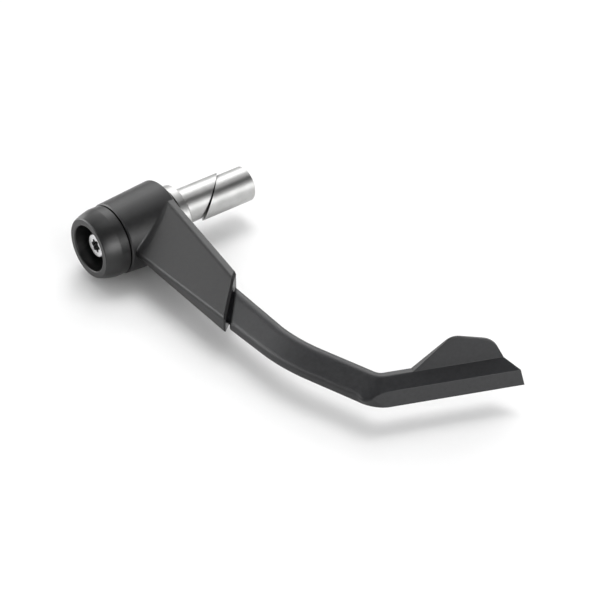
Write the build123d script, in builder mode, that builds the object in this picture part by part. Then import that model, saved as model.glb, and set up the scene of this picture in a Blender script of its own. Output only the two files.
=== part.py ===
import os
from math import atan2, cos, degrees, radians, sin, tan
from build123d import *

os.makedirs("parts", exist_ok=True)

# Frame: X along the handlebar axis and pointing into the bar, -Y forward, +Z up, in mm.
# The origin is the middle of the round end of the expander plug.
seat_x = -29.0
bolt_r = 3.0
run_gap = 0.06

# Turned collar against the end of the bar.
collar_r = 11.5
collar_len = 6.7
collar_neck_r = 11.0
collar_band_len = 4.2
collar_groove_depth = 0.35
collar_edge = 0.45
foot_r = 9.4
foot_depth = 0.5

# Bracket boss, flared towards the bar.
boss_in_x = seat_x - collar_len
boss_len = 23.9
boss_out_x = boss_in_x - boss_len
boss_out_r = 14.4
boss_in_r = 15.9
boss_edge = 0.5

# End cap with a dished recess for the bolt head.
cap_len = 11.0
cap_face_x = boss_out_x - cap_len
cap_face_r = 12.3
cap_r = 14.0
cap_side_len = 4.0
cap_seam = 0.45
cap_pad_r = 11.0
cap_edge = 0.35
recess_r = 9.5
recess_floor_r = 8.6
recess_depth = 7.4
recess_edge = 0.6
head_r = 5.0
head_h = 4.0
head_edge = 0.5
lobe_r = 2.8
lobe_n = 6
lobe_depth = 2.4

# Expander plug in two halves with a slanting cut.
plug_r = 7.3
plug_len = 34.2
plug_edge = 0.4
cut_mid_len = 16.65
cut_turn = 57.0
cut_slope = 1.05
cut_slope_outer = 0.95
spread_len = 1.08
round_start_len = 1.5
plug_taper = 0.05
inner_bore_r = 5.2
bolt_reach_len = 31.0
bolt_tip_edge = 0.6

# Arm of the bracket: plan lines, sloping top and underside.
arm_out_len = 29.4
arm_in_len = 5.8
arm_in_slope = 0.147
arm_root_y = -4.0
mouth_mid_len = 16.9
mouth_in_len = 14.2
mouth_y = -60.55
mouth_slope = 0.858
mouth_edge = 0.95
shoulder_gap = 0.55
shoulder_slope = 0.995
shoulder_edge = 0.8
top_slope = 0.63
top_z = 19.46
under_z = -0.23
under_fall_y = 0.0657
under_fall_x = 0.22
arm_land_w = 2.75
arm_crown_edge = 2.2
arm_back_edge = 0.4
arm_out_edge = 1.8
arm_low_edge = 0.7
root_out_len = 28.9
root_in_len = 9.6
root_r = 3.0
root_shares = ((0.0, 0.17), (0.1, 0.5), (0.3, 0.83), (0.56, 1.0), (0.82, 1.0), (1.0, 0.87))
web_sink_len = 0.6
web_lap_len = 1.0

# Blade: plan line of its outer wall, then its section along the way.
blade_out_len = 27.9
blade_root_y = -52.0
curve_y = -102.5
curve_r = 79.0
bend_back_len = 17.1
bend_y = -140.25
bend_r = 14.0
bend_flare = 1.3
bend_steps = 8
tip_turn = 66.4
tip_len = 56.75
root_w = 11.6
curve_w = 10.0
bend_w = 9.85
tip_w = 8.8
land_w = 2.53
blade_low_z = -3.7
bend_low_z = -3.75
tip_low_z = -4.8
root_wall = 2.95
curve_wall = 3.0
bend_wall = 3.25
tip_wall = 6.15
tip_lean = 1.35
low_edge = 0.45
root_nose_edge = 2.0
curve_nose_edge = 1.5
bend_nose_edge = 1.0
root_crown_edge = 4.0
curve_crown_edge = 2.5
bend_crown_edge = 0.8
back_edge = 0.5
heel_edge = 0.8

# Fin on the tip, drawn along the tip and upward from the frame plane.
fin_foot_len = 16.7
fin_foot_z = 4.2
fin_peak_len = 31.4
fin_peak_z = 16.0
fin_fall_back_len = 3.9
fin_fall_z = 11.75
fin_end_len = 50.75
fin_end_z = 4.0
fin_low_z = -3.4
fin_peak_r = 5.7
fin_fall_r = 9.0
fin_top_t = 0.8
fin_edge = 0.25

# Tongue of the blade inside the socket.
tongue_low_w = 1.0
tongue_high_w = 9.4
tongue_low_z = -2.6
tongue_drop_h = 1.2
tongue_end_y = -40.5
tongue_gap = 0.12
tongue_end_gap = 0.5
overrun_len = 5.0

# Screws from below through the socket floor into the tongue.
screw_back_len = 21.4
screw_y = -44.5
screw_pitch_len = 8.5
screw_n = 2
screw_r = 2.0
screw_head_r = 3.5
screw_head_h = 1.3
screw_seat_z = -3.9
screw_top_z = 0.1
screw_gap = 0.2
screw_head_gap = 0.3
screw_thread_gap = 0.03
screw_tip_gap = 0.4
counterbore_depth = 12.0
screw_lobe_r = 1.65
screw_lobe_depth = 0.9

# Places worked out from the sizes above.
collar_groove_x = seat_x - collar_band_len
cut_mid_x = seat_x + cut_mid_len
bolt_end_x = seat_x + bolt_reach_len
arm_out_x = seat_x - arm_out_len
arm_in_x = seat_x - arm_in_len
mouth_x = seat_x - mouth_mid_len
mouth_in_x = seat_x - mouth_in_len
blade_out_x = seat_x - blade_out_len
bend_x = seat_x - bend_back_len
screw_x = seat_x - screw_back_len
screw_ys = [screw_y - screw_pitch_len * place for place in range(screw_n)]


def lobes(radius):
    """Six-lobe driver recess drawn on the current sketch."""
    Circle(radius * 0.76)
    with PolarLocations(radius * 0.74, lobe_n):
        Circle(radius * 0.26)


def turned(profile):
    """Solid turned about the bar axis from points of station and radius."""
    with BuildPart() as body:
        with BuildSketch(Plane.XY):
            with BuildLine():
                Polyline(*profile, close=True)
            make_face()
        revolve(axis=Axis.X)
    return body.part


# End cap.
cap_back_x = boss_out_x - cap_seam
cone_start = (cap_face_x + cap_edge, cap_face_r)
cone_end = (cap_back_x - cap_side_len, cap_r)
with BuildPart() as end_cap:
    with BuildSketch(Plane.XY):
        with BuildLine():
            Polyline((cap_face_x, recess_r), (cap_face_x, cap_face_r - cap_edge), cone_start)
            TangentArc(cone_start, cone_end, tangent=(1, 0.42))
            Polyline(
                cone_end,
                (cap_back_x - cap_edge, cap_r),
                (cap_back_x, cap_r - cap_edge),
                (cap_back_x, cap_pad_r),
                (boss_out_x, cap_pad_r),
                (boss_out_x, bolt_r + run_gap),
                (cap_face_x + recess_depth, bolt_r + run_gap),
                (cap_face_x + recess_depth, recess_floor_r),
                (cap_face_x, recess_r),
            )
        make_face()
    revolve(axis=Axis.X)
    rim = end_cap.edges().filter_by(GeomType.CIRCLE).group_by(Axis.X)[0].sort_by(SortBy.RADIUS)[0]
    fillet(rim, recess_edge)

# Clamp bolt with its six-lobe recess.
head_face_x = cap_face_x + recess_depth - head_h
with BuildPart() as clamp_bolt:
    add(
        turned(
            (
                (head_face_x, 0),
                (head_face_x, head_r - head_edge),
                (head_face_x + head_edge, head_r),
                (head_face_x + head_h, head_r),
                (head_face_x + head_h, bolt_r),
                (bolt_end_x - bolt_tip_edge, bolt_r),
                (bolt_end_x, bolt_r - bolt_tip_edge),
                (bolt_end_x, 0),
            )
        )
    )
    with BuildSketch(Plane((head_face_x, 0, 0), x_dir=(0, 1, 0), z_dir=(-1, 0, 0))):
        lobes(lobe_r)
    extrude(amount=-lobe_depth, mode=Mode.SUBTRACT)

# Collar with a groove between its two bands and a recess for the foot of the plug.
foot_x = seat_x - foot_depth
with BuildPart() as bar_collar:
    add(
        turned(
            (
                (boss_in_x, bolt_r + run_gap),
                (boss_in_x, collar_neck_r),
                (collar_groove_x - collar_groove_depth, collar_neck_r),
                (collar_groove_x, collar_neck_r - collar_groove_depth),
                (collar_groove_x, collar_r - collar_edge),
                (collar_groove_x + collar_edge, collar_r),
                (seat_x - collar_edge, collar_r),
                (seat_x, collar_r - collar_edge),
                (seat_x, foot_r),
                (foot_x, foot_r),
                (foot_x, bolt_r + run_gap),
            )
        )
    )

# Expander halves: the slanting cut rises towards the direction rise.
rise = (0, sin(radians(cut_turn)), cos(radians(cut_turn)))
shift = (0, spread_len * rise[1], spread_len * rise[2])
tip_x = cut_mid_x + cut_slope * (plug_r - spread_len)
round_x = tip_x + round_start_len
plug_end_x = seat_x + plug_len
cut_inner = Plane(
    (cut_mid_x, shift[1], shift[2]),
    z_dir=(1, -cut_slope * rise[1], -cut_slope * rise[2]),
)
cut_outer = Plane(
    (tip_x, plug_r * rise[1], plug_r * rise[2]),
    z_dir=(1, -cut_slope_outer * rise[1], -cut_slope_outer * rise[2]),
)
with BuildPart() as wedge_inner:
    add(
        turned(
            (
                (foot_x, inner_bore_r),
                (foot_x, plug_r - plug_edge),
                (foot_x + plug_edge, plug_r),
                (plug_end_x, plug_r),
                (plug_end_x, inner_bore_r),
            )
        ).moved(Location(shift))
    )
    split(bisect_by=cut_inner, keep=Keep.BOTTOM)
with BuildPart() as wedge_outer:
    add(
        turned(
            (
                (seat_x, bolt_r + run_gap),
                (seat_x, plug_r - plug_taper),
                (round_x, plug_r),
                (plug_end_x - plug_edge, plug_r),
                (plug_end_x, plug_r - plug_edge),
                (plug_end_x, bolt_r + run_gap),
            )
        )
    )
    split(bisect_by=cut_outer, keep=Keep.TOP)


def heading(turn):
    """Plan direction of travel, turned from forward towards the bar side."""
    return Vector(sin(radians(turn)), -cos(radians(turn)), 0)


def inward(turn):
    """Plan direction across the blade, from its outer wall to its inner wall."""
    return Vector(cos(radians(turn)), sin(radians(turn)), 0)


def bevel(foot, normal, end, leg):
    """Plane that takes off the edge between a face and an end, a leg wide on the face."""
    along = (end - normal * normal.dot(end)).normalized()
    return Plane(foot - along * leg, z_dir=normal + end)


def section(point, turn, width, wall, low_z, nose, crown, flare=0.0):
    """Blade section: low outer wall, sloping face, level land and upright inner wall."""
    wall_z = low_z + wall
    crown_z = wall_z + top_slope * (width - land_w)
    corners = ((flare, low_z), (0, wall_z), (width - land_w, crown_z), (width, crown_z), (width, low_z))
    with BuildSketch(Plane(point, x_dir=inward(turn), z_dir=heading(turn))) as face:
        with BuildLine():
            Polyline(*corners, close=True)
        make_face()
        for corner, radius in zip(corners, (low_edge, nose, crown, back_edge, heel_edge)):
            fillet(face.vertices().sort_by_distance((corner[0], corner[1], 0))[0], radius)
    return face.sketch


# Plan points of the blade's outer wall.
curve_point = Vector(blade_out_x, curve_y, 0)
bend_point = Vector(bend_x, bend_y, 0)
curve_turn = degrees(atan2(bend_x - blade_out_x, curve_y - bend_y))
curve_reach = curve_r * tan(radians(curve_turn / 2))
bend_reach = bend_r * tan(radians((tip_turn - curve_turn) / 2))
root_point = Vector(blade_out_x, blade_root_y, 0)
curve_start = curve_point - heading(0) * curve_reach
curve_end = curve_point + heading(curve_turn) * curve_reach
bend_start = bend_point - heading(curve_turn) * bend_reach
curve_hub = curve_start + inward(0) * curve_r
bend_hub = bend_start + inward(curve_turn) * bend_r

# The top of the wall stands out as the bend begins, and the front of the tip is then cut flat.
tip_full_wall = tip_wall - top_slope * tip_lean
tip_crown_z = tip_low_z + tip_full_wall + top_slope * (tip_w - land_w)
bend_sections = []
for step in range(bend_steps + 1):
    part_way = step / bend_steps
    turn = curve_turn + (tip_turn - curve_turn) * part_way
    ramp = part_way * part_way * (3 - 2 * part_way)
    flare = bend_flare * sin(radians(180 * (1 - part_way) ** 2)) ** 2
    bend_sections.append(
        section(
            bend_hub - inward(turn) * (bend_r + flare),
            turn,
            bend_w + (tip_w - bend_w) * ramp + flare,
            bend_wall + (tip_full_wall - bend_wall) * ramp - top_slope * flare,
            bend_low_z + (tip_low_z - bend_low_z) * ramp,
            bend_nose_edge,
            bend_crown_edge,
            flare,
        )
    )

mouth_out = Vector(mouth_slope, -1, 0).normalized()
mouth_point = Vector(mouth_x, mouth_y, 0)
mouth_in_y = mouth_y + mouth_slope * (mouth_in_x - mouth_x)
mouth_out_y = mouth_y + mouth_slope * (arm_out_x - mouth_x)
shoulder = Plane((mouth_x, mouth_y - shoulder_gap, 0), z_dir=(shoulder_slope, -1, 0))
shoulder_foot = Vector(
    blade_out_x,
    mouth_y - shoulder_gap + shoulder_slope * (blade_out_x - mouth_x),
    blade_low_z + root_wall,
)
tongue_plane = Plane((blade_out_x, tongue_end_y, 0), x_dir=(1, 0, 0), z_dir=(0, -1, 0))
mouth_run = tongue_end_y - mouth_out_y + overrun_len


def tongue_outline(gap):
    """Tongue section, or its pocket when a gap is given."""
    low_w = tongue_low_w - gap
    high_w = tongue_high_w + gap
    base = blade_low_z + root_wall - tongue_drop_h + gap
    return (
        (low_w, tongue_low_z - gap),
        (low_w, base + top_slope * low_w),
        (high_w, base + top_slope * high_w),
        (high_w, tongue_low_z - gap),
    )


fin_outline = (
    (fin_foot_len, fin_foot_z),
    (fin_peak_len, fin_peak_z),
    (fin_end_len - fin_fall_back_len, fin_fall_z),
    (fin_end_len, fin_end_z),
    (fin_end_len, fin_low_z),
    (fin_foot_len, fin_low_z),
)
fin_back = bend_point + inward(tip_turn) * tip_w
fin_front = Plane(
    fin_back - inward(tip_turn) * land_w + Vector(0, 0, tip_crown_z),
    z_dir=inward(tip_turn) * (fin_peak_z - tip_crown_z) - Vector(0, 0, land_w - fin_top_t),
)
with BuildPart() as fin:
    with BuildSketch(Plane(fin_back, x_dir=heading(tip_turn), z_dir=inward(tip_turn) * -1)) as fin_face:
        with BuildLine():
            Polyline(*fin_outline, close=True)
        make_face()
        for corner, radius in zip(fin_outline[1:3], (fin_peak_r, fin_fall_r)):
            fillet(fin_face.vertices().sort_by_distance((corner[0], corner[1], 0))[0], radius)
    extrude(amount=land_w)
    split(bisect_by=fin_front, keep=Keep.TOP)
    fin_rims = fin.edges().filter_by(lambda e: abs(e.tangent_at(0.5).dot(inward(tip_turn))) < 0.5)
    fillet(fin_rims.filter_by(lambda e: e.center().Z > tip_crown_z), fin_edge)

with BuildPart() as guard_blade:
    root_face = section(root_point, 0, root_w, root_wall, blade_low_z, root_nose_edge, root_crown_edge)
    curve_sizes = (curve_w, curve_wall, blade_low_z, curve_nose_edge, curve_crown_edge)
    curve_face = section(curve_start, 0, *curve_sizes)
    leave_face = section(curve_end, curve_turn, *curve_sizes)
    loft(sections=(root_face, curve_face), ruled=True)
    revolve(curve_face, axis=Axis(curve_hub, (0, 0, 1)), revolution_arc=curve_turn)
    loft(sections=(leave_face, bend_sections[0]), ruled=True)
    loft(sections=bend_sections)
    extrude(bend_sections[-1], amount=tip_len - bend_reach)
    split(bisect_by=shoulder, keep=Keep.TOP)
    for normal in (Vector(-top_slope, 0, 1).normalized(), Vector(-1, 0, 0)):
        split(bisect_by=bevel(shoulder_foot, normal, shoulder.z_dir * -1, shoulder_edge), keep=Keep.BOTTOM)
    front_face = Plane(
        bend_point + Vector(0, 0, tip_low_z),
        z_dir=inward(tip_turn) * tip_wall - Vector(0, 0, tip_lean),
    )
    split(bisect_by=front_face, keep=Keep.TOP)
    rake = Plane(bend_point + heading(tip_turn) * tip_len, z_dir=heading(tip_turn) + inward(tip_turn))
    split(bisect_by=rake, keep=Keep.BOTTOM)
    add(fin)
    with BuildSketch(tongue_plane):
        with BuildLine():
            Polyline(*tongue_outline(0), close=True)
        make_face()
    extrude(amount=mouth_run)
    with Locations(*((screw_x, y, screw_top_z + screw_tip_gap) for y in screw_ys)):
        Cylinder(
            screw_r + screw_thread_gap,
            counterbore_depth,
            align=(Align.CENTER, Align.CENTER, Align.MAX),
            mode=Mode.SUBTRACT,
        )

# Bracket: flared boss and the arm with its socket.
crown_x = arm_in_x - arm_land_w
land_fall = top_slope * arm_in_slope


def top_height(x):
    """Height of the arm's sloping top."""
    return top_z + top_slope * (x - seat_x)


def land_height(y):
    """Height of the level strip along the arm's inner edge."""
    return top_height(crown_x) + land_fall * y


def under_height(x, y):
    """Height of the arm's underside."""
    return under_z - under_fall_x * (x - arm_out_x) + under_fall_y * y


top_plane = Plane((seat_x, 0, top_z), z_dir=(-top_slope, 0, 1))
land_plane = Plane((crown_x, 0, land_height(0)), z_dir=(0, -land_fall, 1))
under_plane = Plane((arm_out_x, 0, under_z), z_dir=(under_fall_x, -under_fall_y, 1))
arm_start_y = (boss_in_x - arm_in_x) / arm_in_slope
with BuildPart() as arm:
    with BuildSketch(Plane.XY.offset(-top_z)):
        with BuildLine():
            Polyline(
                (arm_out_x, arm_root_y),
                (arm_out_x, mouth_out_y),
                (mouth_in_x, mouth_in_y),
                (boss_in_x, arm_start_y),
                (boss_in_x, arm_root_y),
                close=True,
            )
        make_face()
    extrude(amount=2 * top_z)
    split(bisect_by=top_plane, keep=Keep.BOTTOM)
    split(bisect_by=land_plane, keep=Keep.BOTTOM)
    split(bisect_by=under_plane, keep=Keep.TOP)
    half_y = mouth_y / 2
    half_in_x = arm_in_x + arm_in_slope * half_y
    half_land_z = land_height(half_y)
    for x, z, radius in (
        (arm_out_x, top_height(arm_out_x), arm_out_edge),
        (half_in_x - arm_land_w, half_land_z, arm_crown_edge),
        (half_in_x, half_land_z, arm_back_edge),
        (arm_out_x, under_height(arm_out_x, half_y), arm_low_edge),
        (half_in_x, under_height(half_in_x, half_y), arm_low_edge),
    ):
        fillet(arm.edges().sort_by_distance((x, half_y, z))[0], radius)
    for normal, foot in (
        (top_plane.z_dir, Vector(mouth_x, mouth_y, top_height(mouth_x))),
        (land_plane.z_dir, Vector(mouth_in_x, mouth_in_y, land_height(mouth_in_y))),
        (Vector(-1, 0, 0), Vector(arm_out_x, mouth_out_y, 0)),
    ):
        split(bisect_by=bevel(foot, normal, mouth_out, mouth_edge), keep=Keep.BOTTOM)


def root_section(station_share, round_share):
    """Slice of the hollow rounding between the boss and the top of the arm."""
    station = root_out_len + (root_in_len - root_out_len) * station_share
    radius = root_r * round_share
    x = seat_x - station
    boss_r = boss_out_r + (boss_in_r - boss_out_r) * (x - boss_out_x) / boss_len
    arm_z = top_height(x)
    hub = Vector(-((boss_r + radius) ** 2 - (arm_z + radius) ** 2) ** 0.5, arm_z + radius)
    on_boss = hub * (boss_r / (boss_r + radius))
    on_arm = Vector(hub.X, arm_z)
    middle = hub + ((on_boss + on_arm) * 0.5 - hub).normalized() * radius
    sunk_z = arm_z - web_sink_len
    with BuildSketch(Plane((x, 0, 0), x_dir=(0, 1, 0), z_dir=(1, 0, 0))) as slice_face:
        with BuildLine():
            ThreePointArc(on_arm, middle, on_boss)
            Polyline(on_boss, (on_boss.X + web_lap_len, sunk_z), (hub.X, sunk_z), on_arm)
        make_face()
    return slice_face.sketch


with BuildPart() as root_web:
    loft(sections=[root_section(*shares) for shares in root_shares])

with BuildPart() as bracket:
    add(
        turned(
            (
                (boss_out_x, bolt_r + run_gap),
                (boss_out_x, boss_out_r - boss_edge),
                (boss_out_x + boss_edge, boss_out_r),
                (boss_in_x - boss_edge, boss_in_r),
                (boss_in_x, boss_in_r - boss_edge),
                (boss_in_x, bolt_r + run_gap),
            )
        )
    )
    add(arm)
    with Locations((boss_out_x - overrun_len, 0, 0)):
        Cylinder(
            bolt_r + run_gap,
            boss_len + 2 * overrun_len,
            rotation=(0, 90, 0),
            align=(Align.CENTER, Align.CENTER, Align.MIN),
            mode=Mode.SUBTRACT,
        )
    add(root_web)
    with BuildSketch(tongue_plane.offset(-tongue_end_gap)):
        with BuildLine():
            Polyline(*tongue_outline(tongue_gap), close=True)
        make_face()
    extrude(amount=mouth_run + tongue_end_gap, mode=Mode.SUBTRACT)
    with Locations(*((screw_x, y, screw_seat_z) for y in screw_ys)):
        Cylinder(
            screw_head_r + screw_head_gap,
            counterbore_depth,
            align=(Align.CENTER, Align.CENTER, Align.MAX),
            mode=Mode.SUBTRACT,
        )
        Cylinder(
            screw_r + screw_gap,
            tongue_low_z - screw_seat_z + screw_r,
            align=(Align.CENTER, Align.CENTER, Align.MIN),
            mode=Mode.SUBTRACT,
        )

with BuildPart() as blade_screws:
    with Locations(*((screw_x, y, screw_seat_z) for y in screw_ys)):
        Cylinder(screw_head_r, screw_head_h, align=(Align.CENTER, Align.CENTER, Align.MAX))
        Cylinder(screw_r, screw_top_z - screw_seat_z, align=(Align.CENTER, Align.CENTER, Align.MIN))
    for y in screw_ys:
        with BuildSketch(Plane((screw_x, y, screw_seat_z - screw_head_h), z_dir=(0, 0, -1))):
            lobes(screw_lobe_r)
        extrude(amount=-screw_lobe_depth, mode=Mode.SUBTRACT)

for label, piece in (
    ("end_cap", end_cap),
    ("clamp_bolt", clamp_bolt),
    ("bar_collar", bar_collar),
    ("wedge_inner", wedge_inner),
    ("wedge_outer", wedge_outer),
    ("guard_blade", guard_blade),
    ("bracket", bracket),
    ("blade_screws", blade_screws),
):
    piece.part.label = label
    export_step(piece.part, "parts/" + label + ".step")
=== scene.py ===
# Brake lever guard in a small studio: its materials, the floor, the surround and the lamps.
import math

import bpy
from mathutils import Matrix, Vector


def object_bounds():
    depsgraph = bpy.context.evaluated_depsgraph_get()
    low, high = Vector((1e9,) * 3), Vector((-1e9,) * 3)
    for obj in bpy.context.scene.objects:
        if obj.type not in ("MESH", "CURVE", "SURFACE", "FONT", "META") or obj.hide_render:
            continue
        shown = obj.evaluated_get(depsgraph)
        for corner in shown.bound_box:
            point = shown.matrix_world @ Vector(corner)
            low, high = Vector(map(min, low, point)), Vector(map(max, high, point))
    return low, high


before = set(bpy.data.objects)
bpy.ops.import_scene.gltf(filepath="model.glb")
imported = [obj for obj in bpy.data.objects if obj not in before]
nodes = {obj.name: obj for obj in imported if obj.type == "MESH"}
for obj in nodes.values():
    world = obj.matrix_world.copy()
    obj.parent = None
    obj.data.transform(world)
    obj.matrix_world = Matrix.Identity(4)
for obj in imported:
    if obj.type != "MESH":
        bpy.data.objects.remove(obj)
cad_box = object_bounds()
scene = bpy.context.scene
scene.view_settings.view_transform = "Standard"

# Lengths are in metres and angles in degrees, unless the name says otherwise.
part_front = cad_box[0][1]
part_bottom = cad_box[0][2]
white = (1.0, 1.0, 1.0, 1.0)
unit_span = (0.0, 1.0)

# Camera, fitted to the photograph.
photo_px = 600
focal_px = 2100
sensor_mm = 36.0
camera_place = (-0.42556, -0.57559, 0.45204)
camera_tilt = 54.648
camera_turn = -38.586
clip_near = 0.05
clip_far = 20.0

# Noise: the span that most of it fills, then detail and roughness of each kind.
noise_span = (0.3, 0.7)
cloud_noise = (3.0, 0.55)
grain_noise = (4.0, 0.6)
ring_noise = (5.0, 0.7)

# Grain and turned rings: strength of each relief, then the scales of the metals' noise.
grain_strength = 0.5
ring_strength = 0.4
ring_scale = 1.0
across_scale = 40.0
metal_cloud = 120.0

# Edges of the blade: shaded round before the sharp bend and crisp past it, counted back from the front.
bend_start = 0.0309
bend_end = 0.0209
round_until = part_front + bend_start
crisp_from = part_front + bend_end
round_radius = 0.002
crisp_radius = 0.0003
edge_samples = 6

# Floor: its reach, tone and glow, and how near the part has to be to dim that glow into a painted
# shadow.
floor_reach = 30.0
floor_tone = 0.6
floor_glow = 0.42
shade_reach = 0.03

# Surround: brightness of the band and of the room above it, and the sine of the angle where each ends.
surround_level = 0.5
room_level = 0.03
surround_top = 0.08
room_bottom = 0.16

# Lamps: elevation, azimuth and strength of each, tuned to the photograph, and how wide they look.
key_lamp = (75.0, 45.0, 1.4)
key_width = 32.0
panels = (
    (9.0, 93.0, 0.68),
    (10.0, 120.0, 0.68),
    (28.0, 120.0, 0.80),
    (43.0, 82.0, 0.22),
    (28.0, 150.0, 0.73),
)
fills = (
    (10.0, 30.0, 0.08),
    (10.0, 270.0, 1.25),
    (10.0, 300.0, 0.44),
    (28.0, 30.0, 0.52),
    (28.0, 60.0, 0.38),
    (28.0, 270.0, 0.45),
    (28.0, 300.0, 0.10),
    (40.0, 200.0, 0.20),
    (44.0, 42.0, 0.52),
    (64.0, 0.0, 0.17),
    (64.0, 60.0, 0.20),
    (64.0, 120.0, 0.08),
    (85.0, 0.0, 0.19),
)
soft_width = 30.0


def new_material(name):
    """Material with a fresh node tree, returned with its tree and its shader."""
    material = bpy.data.materials.new(name)
    material.use_nodes = True
    tree = material.node_tree
    return material, tree, tree.nodes["Principled BSDF"]


def noise(tree, coord, scale, detail, rough):
    """Noise texture on the given coordinates."""
    node = tree.nodes.new("ShaderNodeTexNoise")
    node.inputs["Scale"].default_value = scale
    node.inputs["Detail"].default_value = detail
    node.inputs["Roughness"].default_value = rough
    tree.links.new(coord, node.inputs["Vector"])
    return node.outputs["Fac"]


def map_range(tree, value, source, target):
    """Value mapped from one span to another."""
    node = tree.nodes.new("ShaderNodeMapRange")
    node.inputs["From Min"].default_value = source[0]
    node.inputs["From Max"].default_value = source[1]
    node.inputs["To Min"].default_value = target[0]
    node.inputs["To Max"].default_value = target[1]
    tree.links.new(value, node.inputs["Value"])
    return node.outputs["Result"]


def tint(tree, cloud, dark, light):
    """Colour mixed between dark and light by a noise."""
    node = tree.nodes.new("ShaderNodeMix")
    node.data_type = "RGBA"
    node.inputs["A"].default_value = (*dark, 1.0)
    node.inputs["B"].default_value = (*light, 1.0)
    tree.links.new(map_range(tree, cloud, noise_span, unit_span), node.inputs["Factor"])
    return node.outputs["Result"]


def bump(tree, height, distance, strength, shader):
    """Bump of a height field on the shader's normal."""
    node = tree.nodes.new("ShaderNodeBump")
    node.inputs["Distance"].default_value = distance
    node.inputs["Strength"].default_value = strength
    tree.links.new(height, node.inputs["Height"])
    tree.links.new(node.outputs["Normal"], shader.inputs["Normal"])
    return node


def occlusion(tree, distance):
    """Shade of a surface by whatever stands within a distance of it."""
    node = tree.nodes.new("ShaderNodeAmbientOcclusion")
    node.inputs["Distance"].default_value = distance
    return node


def along(tree, vector, axis):
    """One part of a vector, along the named axis."""
    node = tree.nodes.new("ShaderNodeSeparateXYZ")
    tree.links.new(vector, node.inputs["Vector"])
    return node.outputs[axis]


def combine(tree, operation, first, second):
    """Two values taken together by a math operation."""
    node = tree.nodes.new("ShaderNodeMath")
    node.operation = operation
    tree.links.new(first, node.inputs[0])
    tree.links.new(second, node.inputs[1])
    return node.outputs["Value"]


def edge_normal(tree, coord):
    """Normal that shades the blade's edges rounder as far as the sharp bend."""
    place = along(tree, coord, "Y")
    radius = map_range(tree, place, (crisp_from, round_until), (crisp_radius, round_radius))
    node = tree.nodes.new("ShaderNodeBevel")
    node.samples = edge_samples
    tree.links.new(radius, node.inputs["Radius"])
    return node.outputs["Normal"]


def black_material(name, dark, light, rough, cloud, grain, depth, round_edges=False):
    """Black surface with a fine grain, a slight cloud of tone and uneven gloss."""
    material, tree, shader = new_material(name)
    coord = tree.nodes.new("ShaderNodeTexCoord").outputs["Object"]
    mottle = noise(tree, coord, cloud, *cloud_noise)
    fine = noise(tree, coord, grain, *grain_noise)
    tree.links.new(tint(tree, mottle, dark, light), shader.inputs["Base Color"])
    tree.links.new(map_range(tree, mottle, noise_span, rough), shader.inputs["Roughness"])
    relief = bump(tree, fine, depth, grain_strength, shader)
    if round_edges:
        tree.links.new(edge_normal(tree, coord), relief.inputs["Normal"])
    return material


def turned_material(name, dark, light, rough, pitch, depth, painted_shade_reach):
    """Bright turned metal with fine rings across the bar axis, with painted shade darkening its
    hollows.
    """
    material, tree, shader = new_material(name)
    coord = tree.nodes.new("ShaderNodeTexCoord").outputs["Object"]
    shader.inputs["Metallic"].default_value = 1.0
    stretch = tree.nodes.new("ShaderNodeMapping")
    stretch.inputs["Scale"].default_value = (pitch, across_scale, across_scale)
    tree.links.new(coord, stretch.inputs["Vector"])
    rings = noise(tree, stretch.outputs["Vector"], ring_scale, *ring_noise)
    cloud = noise(tree, coord, metal_cloud, *cloud_noise)
    # Painted shade: the colour is darkened where other surfaces stand near, in recesses and hollows.
    shade = occlusion(tree, painted_shade_reach)
    tree.links.new(tint(tree, cloud, dark, light), shade.inputs["Color"])
    tree.links.new(shade.outputs["Color"], shader.inputs["Base Color"])
    tree.links.new(map_range(tree, rings, noise_span, rough), shader.inputs["Roughness"])
    bump(tree, rings, depth, ring_strength, shader)
    return material


def add_lamp(name, elevation, azimuth, strength, width):
    """Soft lamp far away, its azimuth counted from +X towards +Y."""
    data = bpy.data.lights.new(name, "SUN")
    data.angle = math.radians(width)
    data.energy = strength
    lamp = bpy.data.objects.new(name, data)
    lamp.rotation_euler = (0.0, math.radians(90.0 - elevation), math.radians(azimuth))
    scene.collection.objects.link(lamp)
    return lamp


# Camera.
camera_data = bpy.data.cameras.new("camera")
camera_data.sensor_width = sensor_mm
camera_data.lens = sensor_mm * focal_px / photo_px
camera_data.clip_start = clip_near
camera_data.clip_end = clip_far
camera = bpy.data.objects.new("camera", camera_data)
camera.location = camera_place
camera.rotation_euler = (math.radians(camera_tilt), 0.0, math.radians(camera_turn))
scene.collection.objects.link(camera)
scene.camera = camera

# Satin coat of the bracket.
coat = black_material(
    "black_coat",
    dark=(0.012, 0.012, 0.0125),
    light=(0.016, 0.016, 0.0165),
    rough=(0.34, 0.41),
    cloud=600.0,
    grain=1800.0,
    depth=0.00004,
)

# Moulded nylon of the blade.
nylon = black_material(
    "black_nylon",
    dark=(0.0105, 0.0108, 0.0122),
    light=(0.016, 0.0164, 0.0182),
    rough=(0.33, 0.43),
    cloud=800.0,
    grain=1500.0,
    depth=0.00005,
    round_edges=True,
)

# Smooth black of the end cap.
cap_black = black_material(
    "cap_black",
    dark=(0.011, 0.011, 0.0112),
    light=(0.014, 0.014, 0.0142),
    rough=(0.33, 0.37),
    cloud=300.0,
    grain=3200.0,
    depth=0.000005,
)

# Turned aluminium of the collar and the plug, with painted shade in its hollows.
aluminium = turned_material(
    "aluminium",
    dark=(0.42, 0.42, 0.415),
    light=(0.50, 0.50, 0.495),
    rough=(0.28, 0.42),
    pitch=6000.0,
    depth=0.00002,
    painted_shade_reach=0.0015,
)

# Plated steel of the bolt and the screws, with painted shade in its hollows and recesses.
steel = turned_material(
    "steel",
    dark=(0.66, 0.66, 0.67),
    light=(0.76, 0.76, 0.77),
    rough=(0.20, 0.32),
    pitch=5000.0,
    depth=0.00001,
    painted_shade_reach=0.004,
)

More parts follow.
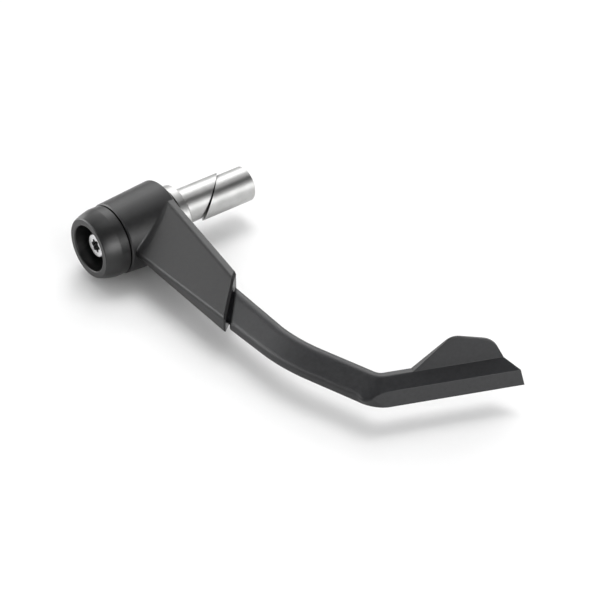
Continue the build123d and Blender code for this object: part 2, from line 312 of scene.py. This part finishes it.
looks = {
    "bracket": coat,
    "guard_blade": nylon,
    "end_cap": cap_black,
    "bar_collar": aluminium,
    "wedge_inner": aluminium,
    "wedge_outer": aluminium,
    "clamp_bolt": steel,
    "blade_screws": steel,
}
for name, material in looks.items():
    mesh = nodes[name].data
    mesh.materials.clear()
    mesh.materials.append(material)

# Floor: pale, with a glow to the eye and in reflections, and a painted shadow where that glow fades
# near the part.
corners = [(-1, -1), (1, -1), (1, 1), (-1, 1)]
floor_points = [(x * floor_reach, y * floor_reach, part_bottom) for x, y in corners]
floor_mesh = bpy.data.meshes.new("floor")
floor_mesh.from_pydata(floor_points, [], [(0, 1, 2, 3)])
floor = bpy.data.objects.new("floor", floor_mesh)
scene.collection.objects.link(floor)
floor_look, floor_tree, floor_shader = new_material("floor")
floor_shader.inputs["Base Color"].default_value = (floor_tone, floor_tone, floor_tone, 1.0)
floor_shader.inputs["Roughness"].default_value = 1.0
floor_shader.inputs["Specular IOR Level"].default_value = 0.0
floor_shader.inputs["Emission Color"].default_value = white
rays = floor_tree.nodes.new("ShaderNodeLightPath")
seen = rays.outputs["Is Camera Ray"]
for kind in ("Is Glossy Ray", "Is Transmission Ray"):
    seen = combine(floor_tree, "MAXIMUM", seen, rays.outputs[kind])
# Painted shadow: the glow is dimmed where the part stands near the floor.
open_sky = occlusion(floor_tree, shade_reach).outputs["AO"]
shaded = combine(floor_tree, "MULTIPLY", seen, open_sky)
glow = map_range(floor_tree, shaded, unit_span, (0.0, floor_glow))
floor_tree.links.new(glow, floor_shader.inputs["Emission Strength"])
floor_mesh.materials.append(floor_look)

# World: a low pale band all round the horizon, and a dim room above it.
world = bpy.data.worlds.new("studio")
scene.world = world
world.use_nodes = True
sky = world.node_tree
direction = sky.nodes.new("ShaderNodeTexCoord").outputs["Generated"]
height = along(sky, direction, "Z")
level = map_range(sky, height, (surround_top, room_bottom), (surround_level, room_level))
background = sky.nodes["Background"]
background.inputs["Color"].default_value = white
sky.links.new(level, background.inputs["Strength"])

# Key lamp: lights the floor and gives the shadow, and leaves no glint.
key = add_lamp("key", *key_lamp, key_width)
key.visible_glossy = False

# Panels behind the object: they show only as glints.
for number, panel_lamp in enumerate(panels):
    panel = add_lamp("panel_%d" % number, *panel_lamp, soft_width)
    panel.visible_diffuse = False

# Fill lamps all round the object.
for number, fill_lamp in enumerate(fills):
    add_lamp("fill_%d" % number, *fill_lamp, soft_width)
